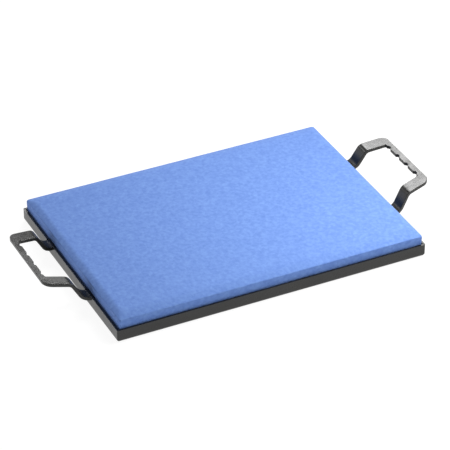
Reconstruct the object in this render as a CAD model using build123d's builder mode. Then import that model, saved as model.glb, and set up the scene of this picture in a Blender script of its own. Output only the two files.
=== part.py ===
from build123d import *
import math
import os

# Kneeling board: a folded steel tray that holds a drop-in foam pad, with a bent grab handle at
# each end. The feet of the handles enter the tray's end walls and are bolted down on a board.
#
# Frame: origin at the middle of the tray's underside, X along the tray's length, Y across it,
# Z up. The two handles are mirror images in the plane X = 0. All sizes are in millimetres.

os.makedirs("parts", exist_ok=True)

# ---------------------------------------------------------------- driving dimensions

tray_length = 425.5
tray_width = 300
tray_height = 17.2
sheet = 2.5  # steel sheet of the tray
tray_fold = 4  # outer radius of the folds along the floor
tray_corner = 2

board_thickness = 9.5
board_gap = 2.5  # from the board's edge to the tray's walls
board_corner = 4

pad_top = 33.6  # height of the pad's face above the ground
pad_end_gap = 1.8  # from the pad to the tray's end walls
pad_side_gap = 0.5  # from the pad to the tray's long walls
pad_corner = 3
pad_shoulder_width = 7.5  # of the sloping band round the pad's face
pad_shoulder_height = 3.6
pad_face_corner = 4
pad_clearance = 0.3  # between the pad and the board it lies on

handle_plate = 4.5
handle_reach = 269  # from the middle of the tray to the grip's outer edge
handle_height = 46.8  # top of the grip's outer edge
handle_width = 119.4  # across the grip's outer corners
handle_corner = 12
handle_edge = 0.5  # broken edges of the cut plate
grip_tilt = 10.4  # degrees above level, rising outwards
grip_width = 7.9
arm_width = 18.6  # measured across the tray
arm_splay = 10.6  # degrees that each arm turns outwards on its way to the tray
leg_angle = 60  # degrees from level
leg_standoff = 9.7  # from the tray's end wall to the corner of the leg and the foot
upper_bend = 6.5  # inside radii of the two bends
lower_bend = 12
foot_length = 42  # inside the tray

scallop_pitch = 23
scallop_count = 4
scallop_radius = 4.2
scallop_depth = 2.3
scallop_blend = 2
tolerance = 0.01  # for picking the corners that lie on the grip's inner edge

stud_radius = 3
stud_length = 20
stud_flange_radius = 3.6
stud_flange_height = 0.8
stud_spacing = 17
stud_inset = 16  # from the tray's end wall to the first stud
washer_radius = 6
washer_thickness = 1.6
nut_across_flats = 10
nut_height = 3.2
nut_chamfer = 0.5
thread_clearance = 0.05
stud_clearance = 0.3  # around the stud in the handle's foot
flange_clearance = 0.6  # around the stud's weld flange in the board

notch_clearance = 0.5  # around the foot in the tray's wall
pocket_clearance = 1.5  # around the foot in the pad
pocket_headroom = 0.5  # above the foot in the pad
nut_pocket_radius = 8
nut_pocket_headroom = 1

strip_width = 20
strip_length = 240
strip_thickness = 1.5
strip_spacing = 120
strip_count = 3

# ---------------------------------------------------------------- worked-out sizes

foot_level = sheet + board_thickness
foot_top = foot_level + handle_plate
foot_end = tray_length / 2 - foot_length
tilt_slope = math.tan(math.radians(grip_tilt))
leg_slope = math.tan(math.radians(leg_angle))
splay_slope = math.tan(math.radians(arm_splay))

# Underside of the handle, seen from the side: foot corner, then bend, then the grip's end.
foot_corner = tray_length / 2 + leg_standoff
grip_end_level = handle_height - handle_plate / math.cos(math.radians(grip_tilt))
bend_reach = (
    grip_end_level - foot_level + leg_slope * foot_corner - tilt_slope * handle_reach
) / (leg_slope - tilt_slope)
bend_level = foot_level + leg_slope * (bend_reach - foot_corner)

stud_stations = [tray_length / 2 - stud_inset - stud_spacing * step for step in range(2)]
washer_level = foot_top + washer_thickness
stud_top = sheet + stud_length

pad_bottom = foot_level + pad_clearance
pad_length = tray_length - 2 * (sheet + pad_end_gap)
pad_width = tray_width - 2 * (sheet + pad_side_gap)
pad_side_height = pad_top - pad_shoulder_height - pad_bottom
strip_stations = [strip_spacing * (step - (strip_count - 1) / 2) for step in range(strip_count)]


def arm_outer(reach):
    """Distance of an arm's outer edge from the handle's centreline, at a distance along X."""
    return handle_width / 2 + splay_slope * (handle_reach - reach)


def foot_centre(reach):
    """Distance of a foot's middle from the centreline, at a distance along X."""
    return arm_outer(reach) - arm_width / 2


stud_places = [
    (end * station, side * foot_centre(station))
    for end in (1, -1)
    for side in (1, -1)
    for station in stud_stations
]


def save(builder, name):
    """Label a finished piece and write it under its node's name."""
    builder.part.label = name
    export_step(builder.part, f"parts/{name}.step")


# ---------------------------------------------------------------- tray

with BuildPart() as tray:
    Box(
        tray_length,
        tray_width,
        tray_height,
        align=(Align.CENTER, Align.CENTER, Align.MIN),
    )
    fillet(tray.edges().filter_by(Axis.Z), tray_corner)
    fillet(tray.faces().sort_by(Axis.Z)[0].edges(), tray_fold)
    with BuildSketch(Plane.XY.offset(sheet)):
        Rectangle(tray_length - 2 * sheet, tray_width - 2 * sheet)
    extrude(amount=tray_height, mode=Mode.SUBTRACT)
    floor_edges = tray.faces().filter_by(Axis.Z).sort_by(Axis.Z)[1].edges()
    fillet(floor_edges, tray_fold - sheet)
    # Notches, open at the rim, that the feet of the handles drop into.
    notch_bottom = foot_level - pad_clearance
    with Locations(
        *[
            (end * (tray_length - sheet) / 2, side * foot_centre(tray_length / 2), notch_bottom)
            for end in (1, -1)
            for side in (1, -1)
        ]
    ):
        Box(
            2 * sheet,
            arm_width + 2 * notch_clearance,
            tray_height,
            align=(Align.CENTER, Align.CENTER, Align.MIN),
            mode=Mode.SUBTRACT,
        )
save(tray, "tray")

# ---------------------------------------------------------------- base board

with BuildPart() as base_board:
    with BuildSketch(Plane.XY.offset(sheet)):
        RectangleRounded(
            tray_length - 2 * (sheet + board_gap),
            tray_width - 2 * (sheet + board_gap),
            board_corner,
        )
        with Locations(*stud_places):
            Circle(stud_flange_radius + flange_clearance, mode=Mode.SUBTRACT)
    extrude(amount=board_thickness)
save(base_board, "base_board")

# ---------------------------------------------------------------- handles

with BuildPart() as handle_right:
    # The bent plate, seen from the side, as wide as the whole handle.
    with BuildSketch(Plane.XZ):
        with BuildLine():
            FilletPolyline(
                (foot_end, foot_level),
                (foot_corner, foot_level),
                (bend_reach, bend_level),
                (handle_reach + handle_corner, grip_end_level + tilt_slope * handle_corner),
                radius=[lower_bend + handle_plate, upper_bend],
            )
            offset(amount=handle_plate, side=Side.LEFT)
        make_face()
    extrude(amount=handle_width, both=True)
    # Its outline, seen from above.
    with BuildSketch(Plane.XY) as handle_outline:
        with BuildLine():
            Polyline(
                (foot_end, -arm_outer(foot_end)),
                (handle_reach, -handle_width / 2),
                (handle_reach, handle_width / 2),
                (foot_end, arm_outer(foot_end)),
                close=True,
            )
        make_face()
        fillet(handle_outline.vertices().group_by(Axis.X)[-1], handle_corner)
        grip_inside = handle_reach - grip_width
        opening_half = arm_outer(grip_inside) - arm_width
        with BuildLine():
            Polyline(
                (foot_end, -arm_outer(foot_end) + arm_width),
                (grip_inside, -opening_half),
                (grip_inside, opening_half),
                (foot_end, arm_outer(foot_end) - arm_width),
                close=True,
            )
        make_face(mode=Mode.SUBTRACT)
        with Locations((grip_inside + scallop_depth - scallop_radius, 0)):
            with GridLocations(0, scallop_pitch, 1, scallop_count):
                Circle(scallop_radius, mode=Mode.SUBTRACT)
        fillet(
            handle_outline.vertices().filter_by_position(
                Axis.X, grip_inside - tolerance, grip_inside + tolerance
            ),
            scallop_blend,
        )
        fillet(handle_outline.vertices().group_by(Axis.X)[0], arm_width / 2.1)
        with Locations(*[place for place in stud_places if place[0] > 0]):
            Circle(stud_radius + stud_clearance, mode=Mode.SUBTRACT)
    extrude(amount=2 * handle_height, mode=Mode.INTERSECT)
    fillet(handle_right.edges(), handle_edge)
save(handle_right, "handle_right")

with BuildPart() as handle_left:
    mirror(handle_right.part, about=Plane.YZ)
save(handle_left, "handle_left")

# ---------------------------------------------------------------- fasteners of the feet

with BuildPart() as foot_studs:
    with BuildSketch(Plane.XY.offset(sheet)):
        with Locations(*stud_places):
            Circle(stud_radius)
    extrude(amount=stud_length)
    with BuildSketch(Plane.XY.offset(sheet)):
        with Locations(*stud_places):
            Circle(stud_flange_radius)
    extrude(amount=stud_flange_height)
save(foot_studs, "foot_studs")

with BuildPart() as foot_washers:
    with BuildSketch(Plane.XY.offset(foot_top)):
        with Locations(*stud_places):
            Circle(washer_radius)
            Circle(stud_radius + stud_clearance, mode=Mode.SUBTRACT)
    extrude(amount=washer_thickness)
save(foot_washers, "foot_washers")

with BuildPart() as foot_nuts:
    with BuildSketch(Plane.XY.offset(washer_level)):
        with Locations(*stud_places):
            RegularPolygon(nut_across_flats / 2, 6, major_radius=False)
    extrude(amount=nut_height)
    chamfer(foot_nuts.faces().filter_by(Axis.Z).edges(), nut_chamfer)
    with BuildSketch(Plane.XY.offset(washer_level)):
        with Locations(*stud_places):
            Circle(stud_radius + thread_clearance)
    extrude(amount=nut_height, mode=Mode.SUBTRACT)
save(foot_nuts, "foot_nuts")

# ---------------------------------------------------------------- pad and its fastening tape

with BuildPart() as hook_strips:
    with Locations(*[(station, 0, foot_level) for station in strip_stations]):
        Box(
            strip_width,
            strip_length,
            strip_thickness,
            align=(Align.CENTER, Align.CENTER, Align.MIN),
        )
save(hook_strips, "hook_strips")

loop_level = foot_level + strip_thickness + pad_clearance

with BuildPart() as loop_strips:
    with Locations(*[(station, 0, loop_level) for station in strip_stations]):
        Box(
            strip_width,
            strip_length,
            strip_thickness,
            align=(Align.CENTER, Align.CENTER, Align.MIN),
        )
save(loop_strips, "loop_strips")

with BuildPart() as foam_pad:
    with BuildSketch(Plane.XY.offset(pad_bottom)):
        RectangleRounded(pad_length, pad_width, pad_corner)
    extrude(amount=pad_side_height)
    # The sloping band that leads up to the face.
    with BuildSketch(Plane.XY.offset(pad_bottom + pad_side_height)):
        RectangleRounded(pad_length, pad_width, pad_corner)
    with BuildSketch(Plane.XY.offset(pad_top)):
        RectangleRounded(
            pad_length - 2 * pad_shoulder_width,
            pad_width - 2 * pad_shoulder_width,
            pad_face_corner,
        )
    loft()
    # Pockets in the underside: over the feet, over the nuts and for the loop tape.
    pocket_middle = tray_length / 2 - foot_length / 2
    with BuildSketch(Plane.XY.offset(pad_bottom)):
        for end in (1, -1):
            for side in (1, -1):
                with Locations(
                    Location(
                        (end * pocket_middle, side * foot_centre(pocket_middle)),
                        -end * side * arm_splay,
                    )
                ):
                    Rectangle(
                        foot_length + 2 * pocket_clearance + arm_width / 2,
                        arm_width + 2 * pocket_clearance,
                    )
    extrude(amount=foot_top + pocket_headroom - pad_bottom, mode=Mode.SUBTRACT)
    with BuildSketch(Plane.XY.offset(pad_bottom)):
        with Locations(*stud_places):
            Circle(nut_pocket_radius)
    extrude(amount=stud_top + nut_pocket_headroom - pad_bottom, mode=Mode.SUBTRACT)
    with BuildSketch(Plane.XY.offset(pad_bottom)):
        with Locations(*[(station, 0) for station in strip_stations]):
            Rectangle(strip_width + pad_clearance, strip_length + pad_clearance)
    extrude(amount=loop_level + strip_thickness - pad_bottom, mode=Mode.SUBTRACT)
save(foam_pad, "foam_pad")
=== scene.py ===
import math

import bmesh
import bpy
from mathutils import Matrix, Vector, noise


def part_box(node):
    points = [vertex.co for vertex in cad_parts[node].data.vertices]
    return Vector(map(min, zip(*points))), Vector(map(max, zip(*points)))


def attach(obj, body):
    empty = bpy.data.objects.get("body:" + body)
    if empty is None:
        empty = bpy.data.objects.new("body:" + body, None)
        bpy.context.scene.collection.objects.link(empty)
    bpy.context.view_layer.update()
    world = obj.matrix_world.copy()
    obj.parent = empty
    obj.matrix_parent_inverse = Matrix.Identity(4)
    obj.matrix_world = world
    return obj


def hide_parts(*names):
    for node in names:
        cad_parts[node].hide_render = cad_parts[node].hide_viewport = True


# Looks of a kneeling board: a black powder-coated steel tray and its two bent grab handles, a
# plywood base board, zinc fasteners, hook and loop tape, and a lift-out block of blue foam.
# Everything is in metres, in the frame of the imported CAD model.

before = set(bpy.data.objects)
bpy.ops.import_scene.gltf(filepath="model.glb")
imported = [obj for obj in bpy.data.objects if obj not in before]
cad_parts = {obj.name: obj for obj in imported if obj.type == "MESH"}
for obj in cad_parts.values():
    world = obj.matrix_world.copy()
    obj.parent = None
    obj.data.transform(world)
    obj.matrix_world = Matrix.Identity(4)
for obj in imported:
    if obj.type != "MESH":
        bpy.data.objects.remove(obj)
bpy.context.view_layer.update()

# ---------------------------------------------------------------- sizes of the foam pad
# Read from the CAD boxes where they can be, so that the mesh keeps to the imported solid.

PAD_LOW, PAD_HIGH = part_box("foam_pad")
TRAY_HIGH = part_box("tray")[1]
STUD_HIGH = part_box("foot_studs")[1]
WASHER_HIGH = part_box("foot_washers")[1]
TAPE_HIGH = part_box("loop_strips")[1]

SHOULDER_WIDTH = 0.0075  # the sloping band round the pad's face, at its ends
SHOULDER_HEIGHT = 0.0036
FACE_BLEND = 0.0026  # half the width over which the slope turns into the flat face
EDGE_LEVEL = PAD_HIGH.z - SHOULDER_HEIGHT
EDGE_ROUND = 0.0009  # radius of the edge between the slope and the upright side
EDGE_LIFT = 0.25  # how far the rounded edge is raised towards the slope, in edge radii
EDGE_STEPS = 6
LONG_SIDE_EASE = 0.7  # how much wider, and so less steep, the band is along the long sides
SIDE_SWELL = 0.0013  # how far the long sides stand out above the tray's rim
SWELL_START = TRAY_HIGH.z + 0.0006
SIDE_STEPS = 9  # rings from the edge down to where the swell starts
SIDE_LEVELS = (0.0165, 0.0150, 0.0137)  # heights of the rings inside the tray
BASE_BEVEL_HEIGHT = 0.0004
BASE_BEVEL_INSET = 0.0003
GRID_INSET = 0.022  # from the pad's edge to the grid that fills its middle
GRID_STEP = 0.005
# Distances in from the pad's edge of the rings on its flat face, its sloping band and its base.
FACE_INSETS = (0.018, 0.015, 0.0125, 0.0108, 0.0098, 0.0091, 0.0083, 0.0075)
BAND_INSETS = (0.0067, 0.0059, 0.005, 0.004, 0.003, 0.0021, 0.0014)
BASE_INSETS = (0.004, 0.010, 0.016)
CORNER_RADIUS = 0.0012  # of the upright corners, down inside the tray
FACE_CORNER_RADIUS = 0.0065  # of the face's corners
FACE_CORNER_DEPTH = 0.003  # how far below the edge the corners start to grow rounder
CORNER_SHARE = 0.9  # the most that a corner's arc takes of the way in to the grid
SIDE_POINTS = 4  # on each straight run beside a corner's arc
ARC_POINTS = 7
CORNER_POINTS = 2 * SIDE_POINTS + ARC_POINTS
RELIEF = 0.00012  # unevenness of the foam's face
RELIEF_BROAD = 22  # waves per metre, more or less
RELIEF_FINE = 61
RELIEF_FINE_SHARE = 0.5
MERGE_DISTANCE = 1e-7
SHARP_ANGLE = math.radians(50)

ARM_WIDTH = 0.0186
ARM_SPLAY = math.radians(10.6)
FOOT_LENGTH = 0.042
SLOT_TOP = 0.0170  # just clear of the tops of the feet
NUT_POCKET_RADIUS = 0.008
STUD_SPACING = 0.017
STUD_FLANGE = 0.0036  # radius of a stud's weld flange
WASHER_RADIUS = 0.006
POCKET_GAP = 0.0015
NUT_POCKET_CORNER = NUT_POCKET_RADIUS - 1e-5  # all but round, with short straight sides
NUT_POCKET_CLEARANCE = 0.001  # above the studs
SLOT_CORNER = 0.004
TAPE_CORNER = 0.0005
TAPE_CLEARANCE = Vector((0.0003, 0.0003))  # how much larger a recess is than its tape
SLOT_OVERSHOOT = 0.002  # how far each cutter starts below the pad's base
POCKET_OVERSHOOT = 0.001
ROUND_STEPS = 6  # in each corner of a cutter
TAPE_SIZE = Vector((0.020, 0.240))
TAPE_STATIONS = (-0.120, 0.0, 0.120)


# ---------------------------------------------------------------- mesh helpers


def new_object(name, mesh):
    """Link a mesh to the scene as an object."""
    made = bpy.data.objects.new(name, mesh)
    bpy.context.scene.collection.objects.link(made)
    return made


def half_length(inset):
    """Half the pad's length, at a distance in from its edge."""
    return PAD_HIGH.x - inset


def half_width(inset):
    """Half the pad's width, at a distance in from its edge at the ends, eased on the long sides."""
    return PAD_HIGH.y - inset - LONG_SIDE_EASE * max(0.0, inset - EDGE_ROUND)


def grid_line(half):
    """Evenly spaced stations from -half to half."""
    count = max(2, round(2 * half / GRID_STEP))
    return [-half + 2 * half * step / count for step in range(count + 1)]


GRID_X = grid_line(half_length(GRID_INSET))
GRID_Y = grid_line(half_width(GRID_INSET))


def corner_path(half_x, half_y, radius):
    """Points round the corner at +X +Y, from the grid's last X station to its last Y station."""
    start_x, start_y = GRID_X[-1], GRID_Y[-1]
    radius = min(radius, CORNER_SHARE * (half_x - start_x), CORNER_SHARE * (half_y - start_y))
    turn_x, turn_y = half_x - radius, half_y - radius
    shares = [step / (SIDE_POINTS + 1) for step in range(1, SIDE_POINTS + 1)]
    points = [(start_x + (turn_x - start_x) * share, half_y) for share in shares]
    for step in range(ARC_POINTS):
        turn = math.pi / 2 * step / (ARC_POINTS - 1)
        points.append((turn_x + radius * math.sin(turn), turn_y + radius * math.cos(turn)))
    points += [(half_x, turn_y + (start_y - turn_y) * share) for share in shares]
    return points


def ring(half_x, half_y, radius):
    """One closed loop round the pad, clockwise from above, that matches the middle grid's lines."""
    corner = corner_path(half_x, half_y, radius)
    loop = [(x, half_y) for x in GRID_X]
    loop += corner
    loop += [(half_x, y) for y in reversed(GRID_Y)]
    loop += [(x, -y) for x, y in reversed(corner)]
    loop += [(x, -half_y) for x in reversed(GRID_X)]
    loop += [(-x, -y) for x, y in corner]
    loop += [(-half_x, y) for y in GRID_Y]
    loop += [(-x, y) for x, y in reversed(corner)]
    return loop


def smooth(low, high, value):
    """0 below low, 1 above high and a smooth step between them."""
    share = min(1.0, max(0.0, (value - low) / (high - low)))
    return share * share * (3 - 2 * share)


def shoulder_level(inset):
    """Height of the face at a distance in from the pad's edge: the sloping band, then flat."""
    rise = SHOULDER_HEIGHT / SHOULDER_WIDTH
    over = inset - SHOULDER_WIDTH
    if over <= -FACE_BLEND:
        return EDGE_LEVEL + rise * inset
    if over >= FACE_BLEND:
        return PAD_HIGH.z
    return PAD_HIGH.z - rise * (FACE_BLEND - over) ** 2 / (4 * FACE_BLEND)


def pad_rings():
    """Rings between the grids of face and base, as (half length, half width, height)."""
    rings = []
    for inset in FACE_INSETS + BAND_INSETS:
        spread = SIDE_SWELL * (1 - inset / GRID_INSET)
        rings.append((half_length(inset), half_width(inset) + spread, shoulder_level(inset)))
    # The rounded edge, from the slope of the shoulder down to the upright side.
    slope = math.atan2(SHOULDER_HEIGHT, SHOULDER_WIDTH)
    for step in range(EDGE_STEPS + 1):
        turn = slope + (math.pi / 2 - slope) * step / EDGE_STEPS
        inset = EDGE_ROUND * (1 - math.sin(turn))
        level = EDGE_LEVEL - EDGE_ROUND * (1 - math.cos(turn)) + EDGE_ROUND * EDGE_LIFT
        rings.append((half_length(inset), half_width(inset) + SIDE_SWELL, level))
    side_top = EDGE_LEVEL - EDGE_ROUND
    for step in range(SIDE_STEPS):
        level = side_top + (SWELL_START - side_top) * (step + 1) / SIDE_STEPS
        swell = SIDE_SWELL * smooth(SWELL_START, side_top, level)
        rings.append((half_length(0), half_width(0) + swell, level))
    for level in SIDE_LEVELS + (PAD_LOW.z + BASE_BEVEL_HEIGHT,):
        rings.append((half_length(0), half_width(0), level))
    rings.append((half_length(BASE_BEVEL_INSET), half_width(BASE_BEVEL_INSET), PAD_LOW.z))
    for inset in BASE_INSETS:
        rings.append((half_length(inset), half_width(inset), PAD_LOW.z))
    return rings


def grid_faces(mesh, verts, upward):
    """Fill a rectangle of vertices with quads that face up or down."""
    for row in range(len(verts) - 1):
        for step in range(len(verts[0]) - 1):
            quad = [
                verts[row][step],
                verts[row][step + 1],
                verts[row + 1][step + 1],
                verts[row + 1][step],
            ]
            mesh.faces.new(quad if upward else quad[::-1])


def grid_border(verts):
    """Border vertices of a grid in the order that ring() uses, corners repeated for its arcs."""
    top, bottom = verts[-1], verts[0]
    border = list(top) + [top[-1]] * CORNER_POINTS
    border += [row[-1] for row in reversed(verts)] + [bottom[-1]] * CORNER_POINTS
    border += list(reversed(bottom)) + [bottom[0]] * CORNER_POINTS
    border += [row[0] for row in verts] + [top[0]] * CORNER_POINTS
    return border


def bridge(mesh, inner, outer):
    """Join two loops of the same length, leaving out quads and edges that have collapsed."""
    count = len(inner)
    for step in range(count):
        after = (step + 1) % count
        corners = [inner[step], inner[after], outer[after], outer[step]]
        distinct = list(dict.fromkeys(corners))
        if len(distinct) > 2:
            mesh.faces.new(distinct)


def pad_body():
    """The foam block as a closed mesh: face, sloping shoulder, soft sides and flat base."""
    mesh = bmesh.new()

    def level_grid(level):
        return [[mesh.verts.new((x, y, level)) for x in GRID_X] for y in GRID_Y]

    face = level_grid(PAD_HIGH.z)
    base = level_grid(PAD_LOW.z)
    grid_faces(mesh, face, True)
    grid_faces(mesh, base, False)
    loops = [grid_border(face)]
    for half_x, half_y, level in pad_rings():
        rounding = smooth(EDGE_LEVEL - FACE_CORNER_DEPTH, PAD_HIGH.z, level)
        radius = CORNER_RADIUS + (FACE_CORNER_RADIUS - CORNER_RADIUS) * rounding
        loops.append([mesh.verts.new((x, y, level)) for x, y in ring(half_x, half_y, radius)])
    loops.append(grid_border(base))
    for inner, outer in zip(loops, loops[1:]):
        bridge(mesh, outer, inner)
    bmesh.ops.remove_doubles(mesh, verts=mesh.verts, dist=MERGE_DISTANCE)
    bmesh.ops.recalc_face_normals(mesh, faces=mesh.faces)
    # Slight unevenness of the face and the exposed sides.
    for vert in mesh.verts:
        share = smooth(TRAY_HIGH.z, EDGE_LEVEL, vert.co.z)
        if share > 0:
            wave = noise.noise(vert.co * RELIEF_BROAD)
            wave += RELIEF_FINE_SHARE * noise.noise(vert.co * RELIEF_FINE)
            vert.co += vert.normal * (RELIEF * share * wave - RELIEF * share)
    data = bpy.data.meshes.new("foam_block")
    mesh.to_mesh(data)
    mesh.free()
    return data


def rounded_box(mesh, centre, size, turn, low, high, radius):
    """Add an upright prism with rounded corners to a mesh."""
    points = []
    for quarter in range(4):
        side_x = (1, -1, -1, 1)[quarter]
        side_y = (1, 1, -1, -1)[quarter]
        for step in range(ROUND_STEPS + 1):
            angle = math.pi / 2 * (quarter + step / ROUND_STEPS)
            x = side_x * (size.x / 2 - radius) + radius * math.cos(angle)
            y = side_y * (size.y / 2 - radius) + radius * math.sin(angle)
            points.append(Matrix.Rotation(turn, 2) @ Vector((x, y)) + centre)
    bottom = [mesh.verts.new((p.x, p.y, low)) for p in points]
    top = [mesh.verts.new((p.x, p.y, high)) for p in points]
    mesh.faces.new(bottom[::-1])
    mesh.faces.new(top)
    for step in range(len(points)):
        after = (step + 1) % len(points)
        mesh.faces.new((bottom[step], bottom[after], top[after], top[step]))


def cut(target, build):
    """Subtract closed prisms from an object and keep the result as its mesh."""
    mesh = bmesh.new()
    build(mesh)
    data = bpy.data.meshes.new("cutter")
    mesh.to_mesh(data)
    mesh.free()
    cutter = new_object("cutter", data)
    modifier = target.modifiers.new("pockets", "BOOLEAN")
    modifier.operation = "DIFFERENCE"
    modifier.solver = "EXACT"
    modifier.object = cutter
    bpy.context.view_layer.update()
    solid = bpy.data.meshes.new_from_object(
        target.evaluated_get(bpy.context.evaluated_depsgraph_get())
    )
    target.modifiers.clear()
    old = target.data
    target.data = solid
    bpy.data.meshes.remove(old)
    bpy.data.objects.remove(cutter)
    bpy.data.meshes.remove(data)


STUD_OUTER = STUD_HIGH.x - STUD_FLANGE
STUD_STATIONS = (STUD_OUTER, STUD_OUTER - STUD_SPACING)
FIRST_FOOT = WASHER_HIGH.y - WASHER_RADIUS - STUD_SPACING * math.tan(ARM_SPLAY)


def foot_centre(station):
    """Distance of a foot's middle from the centreline, at a distance along X."""
    return FIRST_FOOT + (STUD_OUTER - station) * math.tan(ARM_SPLAY)


def foot_slots(mesh):
    """Slots in the base, open at the pad's ends, for the four feet of the handles."""
    length = FOOT_LENGTH + 2 * POCKET_GAP + ARM_WIDTH / 2
    middle = TRAY_HIGH.x - FOOT_LENGTH / 2
    size = Vector((length, ARM_WIDTH + 2 * POCKET_GAP))
    low = PAD_LOW.z - SLOT_OVERSHOOT
    for end in (1, -1):
        for side in (1, -1):
            centre = Vector((end * middle, side * foot_centre(middle)))
            turn = -end * side * ARM_SPLAY
            rounded_box(mesh, centre, size, turn, low, SLOT_TOP, SLOT_CORNER)


def nut_pockets(mesh):
    """Round pockets over the nuts."""
    size = Vector((2 * NUT_POCKET_RADIUS, 2 * NUT_POCKET_RADIUS))
    low = PAD_LOW.z - POCKET_OVERSHOOT
    top = STUD_HIGH.z + NUT_POCKET_CLEARANCE
    for end in (1, -1):
        for side in (1, -1):
            for station in STUD_STATIONS:
                centre = Vector((end * station, side * foot_centre(station)))
                rounded_box(mesh, centre, size, 0, low, top, NUT_POCKET_CORNER)


def tape_recesses(mesh):
    """Shallow recesses that hold the loop tape."""
    size = TAPE_SIZE + TAPE_CLEARANCE
    low = PAD_LOW.z - POCKET_OVERSHOOT
    for station in TAPE_STATIONS:
        centre = Vector((station, 0))
        rounded_box(mesh, centre, size, 0, low, TAPE_HIGH.z, TAPE_CORNER)


# ---------------------------------------------------------------- material helpers


class Material:
    """A Principled material with short calls for the nodes that feed it."""

    def __init__(self, name):
        self.data = bpy.data.materials.new(name)
        self.data.use_nodes = True
        self.tree = self.data.node_tree
        self.shader = self.tree.nodes["Principled BSDF"]
        self.place = self.add("ShaderNodeTexCoord").outputs["Object"]

    def add(self, kind, **settings):
        """Make a node with the given settings."""
        node = self.tree.nodes.new(kind)
        for name, value in settings.items():
            setattr(node, name, value)
        return node

    def link(self, source, target):
        """Connect one socket to another."""
        self.tree.links.new(source, target)

    def set(self, **values):
        """Constant values of the shader's own sockets, by name with underscores for spaces."""
        for name, value in values.items():
            self.shader.inputs[name.replace("_", " ")].default_value = value

    def stretched(self, scale):
        """Object coordinates, scaled differently along each axis."""
        mapping = self.add("ShaderNodeMapping")
        mapping.inputs["Scale"].default_value = scale
        self.link(self.place, mapping.inputs["Vector"])
        return mapping.outputs["Vector"]

    def noise(self, scale, detail=3.0, roughness=0.55, vector=None, distortion=0.0):
        """Noise from about 0 to 1, on object coordinates unless a vector is given."""
        node = self.add("ShaderNodeTexNoise")
        node.inputs["Scale"].default_value = scale
        node.inputs["Detail"].default_value = detail
        node.inputs["Roughness"].default_value = roughness
        node.inputs["Distortion"].default_value = distortion
        self.link(vector or self.place, node.inputs["Vector"])
        return node.outputs["Fac"]

    def voronoi(self, scale):
        """Distance to the nearest point of a scattered pattern."""
        node = self.add("ShaderNodeTexVoronoi", feature="F1")
        node.inputs["Scale"].default_value = scale
        self.link(self.place, node.inputs["Vector"])
        return node.outputs["Distance"]

    def ramp(self, source, stops):
        """Colour ramp from (position, colour) stops."""
        node = self.add("ShaderNodeValToRGB")
        points = node.color_ramp.elements
        while len(points) < len(stops):
            points.new(0.5)
        for point, (position, colour) in zip(points, stops):
            point.position = position
            point.color = (*colour, 1.0)
        self.link(source, node.inputs["Fac"])
        return node.outputs["Color"]

    def spread(self, source, low, high, start=0.0, end=1.0):
        """Map a value from start..end to low..high, clamped."""
        node = self.add("ShaderNodeMapRange")
        node.inputs["From Min"].default_value = start
        node.inputs["From Max"].default_value = end
        node.inputs["To Min"].default_value = low
        node.inputs["To Max"].default_value = high
        self.link(source, node.inputs["Value"])
        return node.outputs["Result"]

    def maths(self, operation, first, second):
        """One operation on two values. Either may be a socket or a number."""
        node = self.add("ShaderNodeMath", operation=operation)
        for socket, value in zip(node.inputs, (first, second)):
            if isinstance(value, (int, float)):
                socket.default_value = value
            else:
                self.link(value, socket)
        return node.outputs["Value"]

    def mix(self, factor, first, second, blend_type="MIX"):
        """Blend two colours. Either may be a socket or a constant."""
        node = self.add("ShaderNodeMix", data_type="RGBA", blend_type=blend_type)
        for socket, value in ((node.inputs[6], first), (node.inputs[7], second)):
            if isinstance(value, tuple):
                socket.default_value = (*value, 1.0)
            else:
                self.link(value, socket)
        if isinstance(factor, float):
            node.inputs[0].default_value = factor
        else:
            self.link(factor, node.inputs[0])
        return node.outputs[2]

    def bump(self, height, strength, distance, under=None):
        """Bump map, stacked on the one under it."""
        node = self.add("ShaderNodeBump")
        node.inputs["Strength"].default_value = strength
        node.inputs["Distance"].default_value = distance
        self.link(height, node.inputs["Height"])
        if under is not None:
            self.link(under, node.inputs["Normal"])
        return node.outputs["Normal"]

    def edge_wear(self, low, high):
        """1 along sharp convex edges, broken up by noise."""
        pointy = self.add("ShaderNodeNewGeometry").outputs["Pointiness"]
        edge = self.spread(pointy, 0.0, 1.0, low, high)
        patches = self.spread(self.noise(140.0, 4.0), 0.0, 1.0, 0.45, 0.7)
        return self.maths("MULTIPLY", edge, patches)

    def finish(self, colour=None, roughness=None, normal=None):
        """Connect what varies over the surface to the shader."""
        if colour is not None:
            self.link(colour, self.shader.inputs["Base Color"])
        if roughness is not None:
            self.link(roughness, self.shader.inputs["Roughness"])
        if normal is not None:
            self.link(normal, self.shader.inputs["Normal"])
        return self.data


# ---------------------------------------------------------------- materials


def black_coat():
    """Satin black powder coat: orange peel, slight cloudiness, very faint rubbing on the edges."""
    m = Material("black_coat")
    m.set(Metallic=0.0, IOR=1.5)
    cloud = m.noise(24.0, 4.0)
    speck = m.noise(1500.0, 2.0)
    colour = m.ramp(cloud, [(0.3, (0.0075, 0.0075, 0.0070)), (0.7, (0.0125, 0.0125, 0.0115))])
    colour = m.mix(m.spread(speck, 0.0, 0.5, 0.58, 0.75), colour, (0.015, 0.015, 0.014))
    colour = m.mix(m.edge_wear(0.54, 0.68), colour, (0.026, 0.026, 0.024))
    roughness = m.spread(m.noise(60.0, 5.0), 0.23, 0.33, 0.3, 0.7)
    peel = m.bump(m.noise(900.0, 2.0), 0.03, 0.0004)
    peel = m.bump(m.noise(2600.0, 2.0), 0.02, 0.0002, peel)
    return m.finish(colour, roughness, peel)


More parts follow.
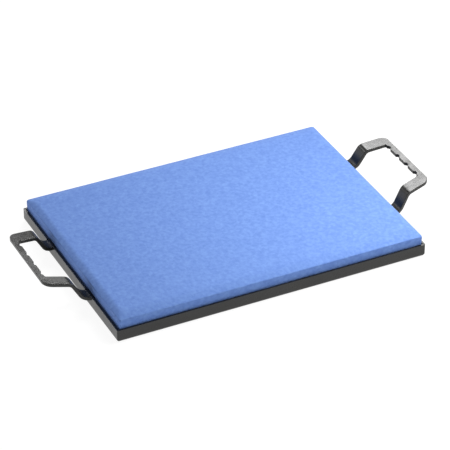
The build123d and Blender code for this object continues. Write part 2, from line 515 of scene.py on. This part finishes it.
def blue_foam():
    """Closed-cell foam with a brushed, felt-like skin: mottled colour and fine fibres."""
    m = Material("blue_foam")
    m.set(Metallic=0.0, IOR=1.45)
    m.set(Sheen_Weight=0.12, Sheen_Roughness=0.55, Sheen_Tint=(0.75, 0.86, 1.0, 1.0))
    m.set(Specular_IOR_Level=0.25)
    mottle = m.noise(220.0, 4.0, 0.5, distortion=0.35)
    broad = m.noise(55.0, 3.0)
    fibre = m.noise(1900.0, 3.0, 0.7)
    colour = m.ramp(
        mottle,
        [
            (0.24, (0.120, 0.234, 0.635)),
            (0.50, (0.156, 0.285, 0.700)),
            (0.76, (0.200, 0.348, 0.760)),
        ],
    )
    drift = m.ramp(broad, [(0.3, (0.96, 0.965, 0.975)), (0.7, (1.0, 1.0, 1.0))])
    colour = m.mix(1.0, colour, drift, "MULTIPLY")
    fuzz = m.ramp(fibre, [(0.3, (0.90, 0.92, 0.94)), (0.7, (1.0, 1.0, 1.0))])
    colour = m.mix(1.0, colour, fuzz, "MULTIPLY")
    roughness = m.spread(mottle, 0.78, 0.95, 0.3, 0.7)
    relief = m.bump(mottle, 0.28, 0.0006)
    relief = m.bump(fibre, 0.20, 0.00025, relief)
    return m.finish(colour, roughness, relief)


PLY_PAIR = 0.0027  # thickness of one light and one dark ply


def plywood():
    """Birch plywood: grain along X on its faces and plies round its edges."""
    m = Material("plywood")
    m.set(Metallic=0.0, IOR=1.45)
    grain = m.noise(1.0, 5.0, 0.6, m.stretched((9.0, 190.0, 190.0)), 0.4)
    figure = m.noise(1.0, 3.0, 0.5, m.stretched((2.2, 26.0, 26.0)), 1.2)
    colour = m.ramp(
        grain,
        [
            (0.30, (0.36, 0.235, 0.125)),
            (0.52, (0.50, 0.350, 0.205)),
            (0.74, (0.60, 0.440, 0.275)),
        ],
    )
    tone = m.ramp(figure, [(0.35, (0.86, 0.82, 0.78)), (0.65, (1.0, 1.0, 1.0))])
    colour = m.mix(1.0, colour, tone, "MULTIPLY")
    # Plies show where the surface stands upright.
    height = m.add("ShaderNodeSeparateXYZ")
    m.link(m.place, height.inputs["Vector"])
    layers = m.maths("FRACT", m.maths("MULTIPLY", height.outputs["Z"], 1.0 / PLY_PAIR), 0.0)
    facing = m.add("ShaderNodeSeparateXYZ")
    m.link(m.add("ShaderNodeNewGeometry").outputs["True Normal"], facing.inputs["Vector"])
    flat = m.maths("ABSOLUTE", facing.outputs["Z"], 0.0)
    upright = m.spread(flat, 1.0, 0.0, 0.2, 0.6)
    ply = m.maths("MULTIPLY", m.maths("GREATER_THAN", layers, 0.5), upright)
    colour = m.mix(ply, colour, (0.23, 0.135, 0.068))
    roughness = m.spread(grain, 0.62, 0.82, 0.3, 0.7)
    return m.finish(colour, roughness, m.bump(grain, 0.30, 0.0003))


def zinc_steel():
    """Bright zinc plate with faint mottling and fine scratches."""
    m = Material("zinc_steel")
    m.set(Metallic=1.0)
    cloud = m.noise(420.0, 4.0)
    colour = m.ramp(cloud, [(0.3, (0.50, 0.50, 0.48)), (0.7, (0.66, 0.66, 0.65))])
    scratch = m.noise(1.0, 3.0, 0.6, m.stretched((300.0, 4200.0, 4200.0)))
    roughness = m.spread(scratch, 0.24, 0.46, 0.3, 0.7)
    return m.finish(colour, roughness, m.bump(scratch, 0.12, 0.0001))


def hook_tape():
    """Hook tape: rows of small stiff hooks on a woven band."""
    m = Material("hook_tape")
    m.set(Metallic=0.0, IOR=1.5)
    hooks = m.voronoi(620.0)
    weave = m.noise(1.0, 2.0, 0.5, m.stretched((2600.0, 800.0, 800.0)))
    colour = m.ramp(hooks, [(0.1, (0.040, 0.040, 0.042)), (0.6, (0.012, 0.012, 0.013))])
    colour = m.mix(m.spread(weave, 0.0, 0.4, 0.4, 0.7), colour, (0.05, 0.05, 0.052))
    roughness = m.spread(hooks, 0.45, 0.75, 0.1, 0.6)
    relief = m.bump(m.spread(hooks, 1.0, 0.0, 0.05, 0.5), 0.8, 0.0006)
    return m.finish(colour, roughness, relief)


def loop_tape():
    """Loop tape: matted fine loops."""
    m = Material("loop_tape")
    m.set(Metallic=0.0, IOR=1.5, Sheen_Weight=0.3, Sheen_Roughness=0.5)
    loops = m.noise(1300.0, 5.0, 0.75, distortion=1.5)
    tufts = m.noise(260.0, 3.0)
    colour = m.ramp(loops, [(0.3, (0.014, 0.014, 0.015)), (0.7, (0.070, 0.070, 0.074))])
    tone = m.ramp(tufts, [(0.3, (0.8, 0.8, 0.8)), (0.7, (1.0, 1.0, 1.0))])
    colour = m.mix(1.0, colour, tone, "MULTIPLY")
    roughness = m.spread(loops, 0.8, 0.98, 0.3, 0.7)
    return m.finish(colour, roughness, m.bump(loops, 0.9, 0.0005))


COAT = black_coat()
FOAM = blue_foam()
PLYWOOD = plywood()
ZINC = zinc_steel()
HOOKS = hook_tape()
LOOPS = loop_tape()

NODE_MATERIALS = {
    "tray": COAT,
    "handle_left": COAT,
    "handle_right": COAT,
    "base_board": PLYWOOD,
    "foot_studs": ZINC,
    "foot_washers": ZINC,
    "foot_nuts": ZINC,
    "hook_strips": HOOKS,
    "loop_strips": LOOPS,
    "foam_pad": FOAM,
}


def dress(node, material):
    """Give a node one material."""
    node.data.materials.clear()
    node.data.materials.append(material)


for node_name, node_material in NODE_MATERIALS.items():
    dress(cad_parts[node_name], node_material)

# ---------------------------------------------------------------- the foam pad

foam = new_object("foam_block", pad_body())
for pockets in (foot_slots, nut_pockets, tape_recesses):
    cut(foam, pockets)
dress(foam, FOAM)
foam.data.shade_smooth()
foam.data.set_sharp_from_angle(angle=SHARP_ANGLE)
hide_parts("foam_pad")
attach(foam, "pad_body")

# ---------------------------------------------------------------- floor, lights and camera


FLOOR_HALF_SIZE = 12.0
FLOOR_DROP = 0.0003  # keeps the floor just clear of the tray's underside
FLOOR_GLOW = 0.92
WORLD_STRENGTH = 0.15


def floor_material():
    """White studio floor, mostly self-lit, so that it stays bright under the object."""
    m = Material("studio_paper")
    m.set(Roughness=0.9, Specular_IOR_Level=0.1, Emission_Strength=FLOOR_GLOW)
    m.set(Emission_Color=(1.0, 1.0, 1.0, 1.0))
    tone = m.ramp(m.noise(9.0, 4.0), [(0.3, (0.15, 0.15, 0.15)), (0.7, (0.17, 0.17, 0.17))])
    return m.finish(tone)


floor_mesh = bmesh.new()
bmesh.ops.create_grid(floor_mesh, x_segments=1, y_segments=1, size=FLOOR_HALF_SIZE)
floor_data = bpy.data.meshes.new("studio_floor")
floor_mesh.to_mesh(floor_data)
floor_mesh.free()
floor = new_object("studio_floor", floor_data)
dress(floor, floor_material())
floor.location.z = -FLOOR_DROP

TARGET_CENTRE = Vector((0.0, 0.0, 0.02))


def softbox(name, place, width, height, power, colour=(1.0, 1.0, 1.0)):
    """A rectangular light aimed at the object."""
    data = bpy.data.lights.new(name, "AREA")
    data.shape = "RECTANGLE"
    data.size = width
    data.size_y = height
    data.energy = power
    data.color = colour
    light = bpy.data.objects.new(name, data)
    bpy.context.scene.collection.objects.link(light)
    light.location = place
    light.rotation_euler = (TARGET_CENTRE - Vector(place)).to_track_quat("-Z", "Y").to_euler()


softbox("key_softbox", (0.30, -0.18, 0.50), 0.40, 0.40, 4.1, (1.0, 0.98, 0.93))
softbox("back_softbox", (0.56, 1.2, 1.20), 1.04, 0.36, 16.5)
softbox("left_back_softbox", (-0.50, 1.2, 0.74), 0.5, 0.26, 1.3)
softbox("horizon_softbox", (-1.25, 1.5, 0.34), 1.3, 0.5, 2.6)

world = bpy.data.worlds.new("studio")
bpy.context.scene.world = world
world.use_nodes = True
world.node_tree.nodes["Background"].inputs["Color"].default_value = (1.0, 1.0, 1.0, 1.0)
world.node_tree.nodes["Background"].inputs["Strength"].default_value = WORLD_STRENGTH

bpy.context.scene.view_settings.view_transform = "Standard"

CAMERA_AZIMUTH = math.radians(-25.986)
CAMERA_ELEVATION = math.radians(33.59)
CAMERA_DISTANCE = 3.180
CAMERA_LENS = 198.8
CAMERA_SENSOR = 36.0
FRAMING_RIGHT = 0.003586
FRAMING_UP = 0.015890

level = math.cos(CAMERA_ELEVATION)
back = Vector(
    (
        math.sin(CAMERA_AZIMUTH) * level,
        -math.cos(CAMERA_AZIMUTH) * level,
        math.sin(CAMERA_ELEVATION),
    )
)
right = Vector((math.cos(CAMERA_AZIMUTH), math.sin(CAMERA_AZIMUTH), 0.0))
up = back.cross(right)

camera_data = bpy.data.cameras.new("camera")
camera_data.lens = CAMERA_LENS
camera_data.sensor_width = CAMERA_SENSOR
camera = bpy.data.objects.new("camera", camera_data)
bpy.context.scene.collection.objects.link(camera)
camera.location = right * FRAMING_RIGHT + up * FRAMING_UP + back * CAMERA_DISTANCE
camera.rotation_euler = (-back).to_track_quat("-Z", "Y").to_euler()
bpy.context.scene.camera = camera
